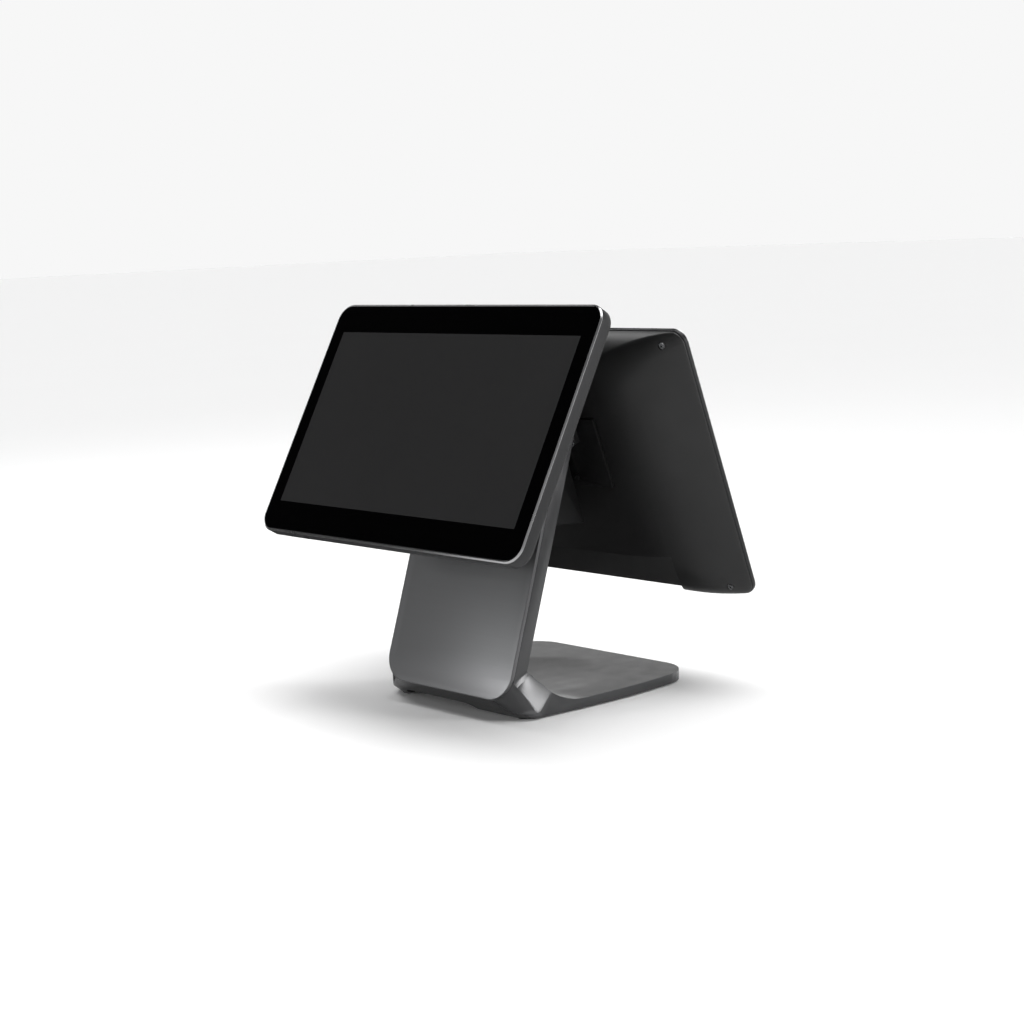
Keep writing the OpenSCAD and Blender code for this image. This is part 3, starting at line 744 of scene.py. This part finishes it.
def back_line(side):
    """Points from the neck's top, down its back, through the scoop and along the base's top."""
    line = []
    near = smooth(abs(side), 0.3, 1)
    meet_z = (BASE_TOP - neck_point(0, NECK_T, 0).z) / math.cos(neck_lean)
    tangent = SCOOP_R / math.tan(math.radians(90) / 2 - neck_lean / 2)
    start_z = mix(meet_z + tangent, SIDE_BACK_Z, near)
    for i in range(NECK_ROWS + 1):
        rise = math.sin(math.pi / 2 * i / NECK_ROWS)
        z = mix(NECK_LEN, start_z, rise)
        line.append(neck_point(side * neck_half(z), NECK_T, z))
    corner_point = neck_point(0, NECK_T, meet_z)
    centre = Vector((0, corner_point.y + tangent, BASE_TOP + SCOOP_R))
    edge_start = neck_point(math.copysign(NECK_W / 2, side), NECK_T, SIDE_BACK_Z)
    edge_end = Vector((math.copysign(FLARE_C.x, side), FLARE_C.y, FLARE_C.z))
    sweep = math.pi / 2 + neck_lean
    for i in range(1, FOLD_ROWS + 1):
        part = i / FOLD_ROWS
        turn = math.pi - neck_lean + sweep * part
        inner = Vector((0, centre.y + SCOOP_R * math.cos(turn), centre.z + SCOOP_R * math.sin(turn)))
        edge = edge_start.lerp(edge_end, part)
        x = abs(side) * edge.x
        line.append(Vector((x, mix(inner.y, edge.y, near), mix(inner.z, edge.z, near))))
    last_y = line[-1].y
    for i in range(BASE_ROWS + 1):
        y = mix(last_y + 2.5, BASE_REAR, base_step(i / BASE_ROWS))
        z = mix(BASE_TOP, rim_height(y), near)
        half = base_half(y) if y > 0 else mix(FLARE_C.x, base_half(0), smooth(y, FLARE_C.y, 0))
        line.append(Vector((side * half, y, z - dish_depth(side * half, y))))
    return line


def stand_body():
    """One skin for the folded slab: neck, fold with its side flares, and base plate."""
    columns = []
    for i in range(-HALF_COLUMNS, HALF_COLUMNS + 1):
        part = abs(i) / HALF_COLUMNS
        share = 0.62 * part if part < 0.4 else mix(0.248, 1, math.sin(math.pi / 2 * (part - 0.4) / 0.6))
        columns.append(math.copysign(share, i))
    fronts = [front_line(side) for side in columns]
    backs = [back_line(side) for side in columns]
    rows = len(fronts[0])
    wide = len(columns)
    points = [point for line in fronts for point in line]
    points += [point for line in backs for point in line]
    offset = wide * rows

    def front(i, k):
        return i * rows + k

    def back(i, k):
        return offset + i * rows + k

    faces = []
    for i in range(wide - 1):
        for k in range(rows - 1):
            faces.append((front(i, k), front(i + 1, k), front(i + 1, k + 1), front(i, k + 1)))
            faces.append((back(i, k), back(i, k + 1), back(i + 1, k + 1), back(i + 1, k)))
        faces.append((front(i, 0), back(i, 0), back(i + 1, 0), front(i + 1, 0)))
        last = rows - 1
        faces.append((front(i, last), front(i + 1, last), back(i + 1, last), back(i, last)))
    for i in (0, wide - 1):
        for k in range(rows - 1):
            faces.append((front(i, k), front(i, k + 1), back(i, k + 1), back(i, k)))
    return make_object("stand_body", points, faces, WORLD)


def build_stand():
    body = stand_body()
    bevel(body, 1.1, 3, 28)
    notch = [(-78, -4), (-76, 3), (-74.5, 6), (-71, 7.4), (10, 7.4), (18, 6.9), (25, 4.6), (34, -4)]
    cut(body, prism("notch", notch, -130, -26, WORLD))
    low, high = box_mm("base_bottom_cover")
    gap = Vector((0.4, 0.4, 0))
    cut(body, block("underside", low - gap - Vector((0, 0, 5)), high + gap, WORLD))
    finish(body, "stand", "cast", replaces=("base_casting", "neck_shell"))


def build_neck_plate():
    middle = PLATE_LOW + NECK_PLATE_H / 2
    profile = [(1.1, 0.0), (0.55, 0.08), (0.18, 0.4), (0.0, 1.0), (0.0, 3.6), (0.25, 3.9)]
    rings = [
        rounded_ring(NECK_W - 2 * inset, NECK_PLATE_H - 2 * inset, PLATE_R - inset, depth, 20, middle)
        for inset, depth in profile
    ]
    plate = loft("neck_plate", rings, NECK)
    cut(plate, block("arm_gap", *ARM_GAP, NECK))
    cut(plate, block("cable_gap", *CABLE_GAP, NECK))
    finish(plate, "stand", "plate", replaces=("neck_front_cover",))


def build_small_stand_parts():
    for node, slot, finish_name, width in (
        ("base_bottom_cover", "steel", "steel", 0.3),
        ("rubber_feet", "rubber", "rubber", 0.5),
        ("front_arm", "arm_metal", "arm", 1.2),
        ("rear_arm", "arm_metal", "arm", 1.6),
        ("main_hinge_shaft", "shaft_steel", "shaft", 0.6),
        ("rear_hinge_shaft", "shaft_steel", "shaft", 0.6),
        ("friction_washers", "bronze", "bronze", 0.15),
        ("shaft_nuts", "steel", "steel", 0.5),
        ("arm_bolts", "steel", "screw", 0.4),
    ):
        softened(node, "stand", finish_name, width)


def build_display(prefix, place, width, height, corner, band, bay, screw_seat):
    body = prefix + "_display"
    glass_w = width - 2 * RIM
    glass_h = height - 2 * RIM
    glass_sheet(prefix + "_cover_glass", prefix + "_glass", glass_w, glass_h, corner, place, body)
    unlit_area(prefix + "_unlit_area", place, body)
    bezel(prefix, prefix + "_bezel", width, height, corner, band, place, body)
    shell = cover(prefix, width, height, corner, band, bay, screw_seat, place)
    node = "main_rear_cover" if prefix == "main" else "rear_cover"
    sockets = prefix + "_sockets"
    cut(shell, socket_cutter(prefix, place))
    finish(shell, body, "cover", sharp=34, replaces=(node,))
    for i, (x, z) in enumerate(corner_screws(width, height)):
        name = f"{prefix}_corner_screw_{i}"
        screw_head(name, x, z, screw_seat, SCREW_HEAD_R, place, body)
    softened(sockets, body, "steel", 0.2)
    softened(prefix + "_hinge_leaf", body, "arm", 0.8)
    softened(prefix + "_leaf_screws", body, "arm", 0.3)


def socket_cutter(prefix, place):
    """Space in the cover around the row of sockets, up from the bay."""
    return block("socket_space", *SOCKET_SPACE[prefix], place)


def dress_inner_parts():
    """Parts inside the housings keep their CAD shape and get a finish."""
    for finish_name, names in {
        "steel": ["ballast_plate", "base_screws", "neck_spine", "neck_bolts", "main_chassis",
                  "rear_chassis", "main_cover_screws", "rear_cover_screws"],
        "black": ["main_lcd_panel", "rear_lcd_panel", "solid_state_drive", "main_speakers",
                  "power_switch"],
        "board": ["mainboard", "driver_board", "memory_module"],
        "bronze": ["board_standoffs"],
        "fins": ["heat_sink"],
    }.items():
        for name in names:
            mesh = nodes[name].data
            mesh.materials.clear()
            mesh.materials.append(FINISH[finish_name])


# ---------- studio ----------

FLOOR_HALF = 30000
SKY_PALE = (0.93, 0.93, 0.93, 1)
SKY_DARK = (0.012, 0.012, 0.012, 1)
CAMERA_AT = Vector((1317.9, -1282.4, 474.0))
CAMERA_AZIMUTH = 45.57
CAMERA_ELEVATION = 8.8
CAMERA_ROLL = -2.34
SENSOR_MM = 36
LENS_MM = 63.293


def build_studio():
    """Pale floor, a pale sky that darkens overhead, and soft lights."""
    bpy.context.scene.view_settings.view_transform = "Standard"
    half = FLOOR_HALF
    corners = [(-half, -half, 0), (half, -half, 0), (half, half, 0), (-half, half, 0)]
    floor = make_object("floor", corners, [(0, 1, 2, 3)], WORLD)
    floor.data.materials.append(floor_finish())

    world = bpy.data.worlds.new("studio")
    bpy.context.scene.world = world
    world.use_nodes = True
    tree = world.node_tree
    background = tree.nodes["Background"]
    coordinates = tree.nodes.new("ShaderNodeTexCoord")
    split = tree.nodes.new("ShaderNodeSeparateXYZ")
    ramp = tree.nodes.new("ShaderNodeValToRGB")
    tree.links.new(coordinates.outputs["Generated"], split.inputs[0])
    tree.links.new(split.outputs["Z"], ramp.inputs[0])
    tree.links.new(ramp.outputs["Color"], background.inputs["Color"])
    ramp.color_ramp.elements[0].position = 0.24
    ramp.color_ramp.elements[0].color = SKY_PALE
    ramp.color_ramp.elements[1].position = 0.32
    ramp.color_ramp.elements[1].color = SKY_DARK
    background.inputs["Strength"].default_value = 1.0

    sun = bpy.data.lights.new("overhead", "SUN")
    sun.energy = 3.0
    sun.angle = math.radians(50)
    made = bpy.data.objects.new("overhead", sun)
    bpy.context.scene.collection.objects.link(made)
    made.rotation_euler = (math.radians(-8), math.radians(8), 0)

    target = Vector((0, 0, 230))
    for name, place, size, power in (
        ("front", (-1060, -1740, 390), 380, 6.5),
        ("top_left", (-1400, 100, 1700), 950, 16),
        ("right_back", (2018, 951, 775), 480, 16),
        ("front_right", (1500, -1500, 1300), 900, 2.5),
    ):
        light = bpy.data.lights.new(name, "AREA")
        light.shape = "SQUARE"
        light.size = size * MM
        light.energy = power
        made = bpy.data.objects.new(name, light)
        bpy.context.scene.collection.objects.link(made)
        made.location = Vector(place) * MM
        made.rotation_euler = (target - Vector(place)).to_track_quat("-Z", "Y").to_euler()


def build_flag():
    """Low black panel out of the camera's view, seen only in the sheen of the sides facing +X."""
    flag = block("flag", (620, 150, 0), (630, 900, 130), WORLD)
    flag.data.materials.append(FINISH["rubber"])
    flag.visible_shadow = False


def build_floor_card():
    """Black card beside the base, seen only in the sheen of the customer display's cover."""
    card = block("floor_card", (-800, -500, 1), (-125, 500, 3), WORLD)
    card.data.materials.append(FINISH["rubber"])
    card.visible_camera = False
    card.visible_diffuse = False
    card.visible_shadow = False


def build_camera():
    """Camera at the photograph's viewing angle."""
    azimuth = math.radians(CAMERA_AZIMUTH)
    elevation = math.radians(CAMERA_ELEVATION)
    roll = math.radians(CAMERA_ROLL)
    back = Vector((math.sin(azimuth) * math.cos(elevation),
                   -math.cos(azimuth) * math.cos(elevation), math.sin(elevation)))
    right = Vector((math.cos(azimuth), math.sin(azimuth), 0))
    up = back.cross(right)
    x_axis = right * math.cos(roll) + up * math.sin(roll)
    y_axis = up * math.cos(roll) - right * math.sin(roll)
    data = bpy.data.cameras.new("camera")
    data.sensor_width = SENSOR_MM
    data.lens = LENS_MM
    camera = bpy.data.objects.new("camera", data)
    bpy.context.scene.collection.objects.link(camera)
    turn = Matrix((x_axis, y_axis, back)).transposed().to_4x4()
    camera.matrix_world = Matrix.Translation(CAMERA_AT * MM) @ turn
    bpy.context.scene.camera = camera


build_camera()
build_studio()
build_flag()
build_floor_card()
build_stand()
build_neck_plate()
build_small_stand_parts()
build_display("main", MAIN, MAIN_W, MAIN_H, MAIN_R, MAIN_BAND, MAIN_BAY, MAIN_SCREW_SEAT)
build_display("rear", REAR, REAR_W, REAR_H, REAR_R, REAR_BAND, REAR_BAY, REAR_SCREW_SEAT)
softened("power_button", "button", "black", 0.4)
dress_inner_parts()
